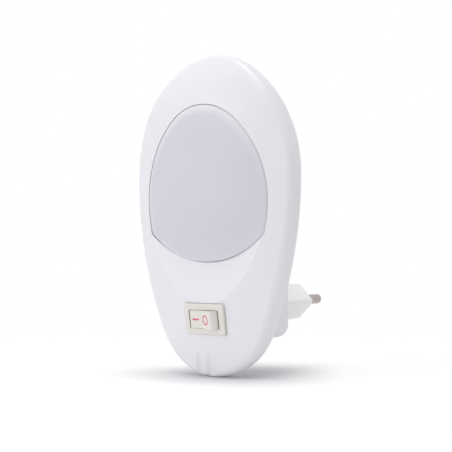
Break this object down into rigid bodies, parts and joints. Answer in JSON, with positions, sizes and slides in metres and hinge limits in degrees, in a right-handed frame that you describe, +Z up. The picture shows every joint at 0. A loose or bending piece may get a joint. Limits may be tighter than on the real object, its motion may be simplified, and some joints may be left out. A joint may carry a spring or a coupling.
{
  "type": "plug-in night light",
  "caption": "Egg-shaped plug-in LED night light with a frosted lens, a small rocker switch below it and a flat two-pin wall plug on its back.",
  "frame": {"origin": "middle of the plug's engagement face, between the two pins", "axes": "+Z up, -Y out of the front of the light, +Y into the wall socket, +X to the right as seen from the front"},
  "size_m": [0.072, 0.073, 0.1231],
  "materials": {
    "white_shell": "white moulded ABS, satin",
    "frosted_lens": "frosted translucent polycarbonate",
    "plug_plastic": "white moulded plastic",
    "nickel_pin": "nickel-plated brass",
    "pin_sleeve": "white insulating sleeve",
    "cream_plastic": "cream moulded plastic",
    "inner_plastic": "natural acetal",
    "spring_steel": "spring wire",
    "contact_brass": "silvered brass",
    "board_laminate": "phenolic paper laminate",
    "lamp_body": "white lamp body with phosphor window",
    "film_case": "moulded film capacitor case",
    "can_sleeve": "sleeved aluminium can",
    "black_plastic": "black moulding compound",
    "resistor_body": "lacquered film resistor",
    "screw_steel": "zinc-plated steel",
    "brown_insulation": "brown insulation",
    "blue_insulation": "blue insulation"
  },
  "bodies": {
    "casing": {"front_shell": "white_shell", "diffuser_lens": "frosted_lens", "back_cover": "white_shell", "plug_body": "plug_plastic", "left_pin": "nickel_pin", "right_pin": "nickel_pin", "left_pin_sleeve": "pin_sleeve", "right_pin_sleeve": "pin_sleeve", "switch_housing": "cream_plastic", "common_terminal": "contact_brass", "contact_terminal": "contact_brass", "circuit_board": "board_laminate", "leds": "lamp_body", "film_capacitor": "film_case", "electrolytic_capacitor": "can_sleeve", "bridge_rectifier": "black_plastic", "resistors": "resistor_body", "case_screws": "screw_steel", "board_screws": "screw_steel", "live_lead": "brown_insulation", "switched_lead": "brown_insulation", "neutral_lead": "blue_insulation"},
    "rocker": {"rocker_button": "cream_plastic", "plunger": "inner_plastic", "plunger_spring": "spring_steel"},
    "bridge": {"contact_bridge": "contact_brass"}
  },
  "joints": [
    {"name": "rocker_tilt", "type": "hinge", "parent": "casing", "child": "rocker", "pos_m": [0, -0.04813, -0.00496], "axis": [0, -0.1736, 0.9848], "range_deg": [0, 22]},
    {"name": "bridge_tilt", "type": "hinge", "parent": "casing", "child": "bridge", "pos_m": [0, -0.04138, -0.00377], "axis": [0, -0.1736, 0.9848], "range_deg": [-18, 0]}
  ],
  "couplings": [
    {"joint": "bridge_tilt", "follows": "rocker_tilt", "ratio": -0.81818}
  ]
}
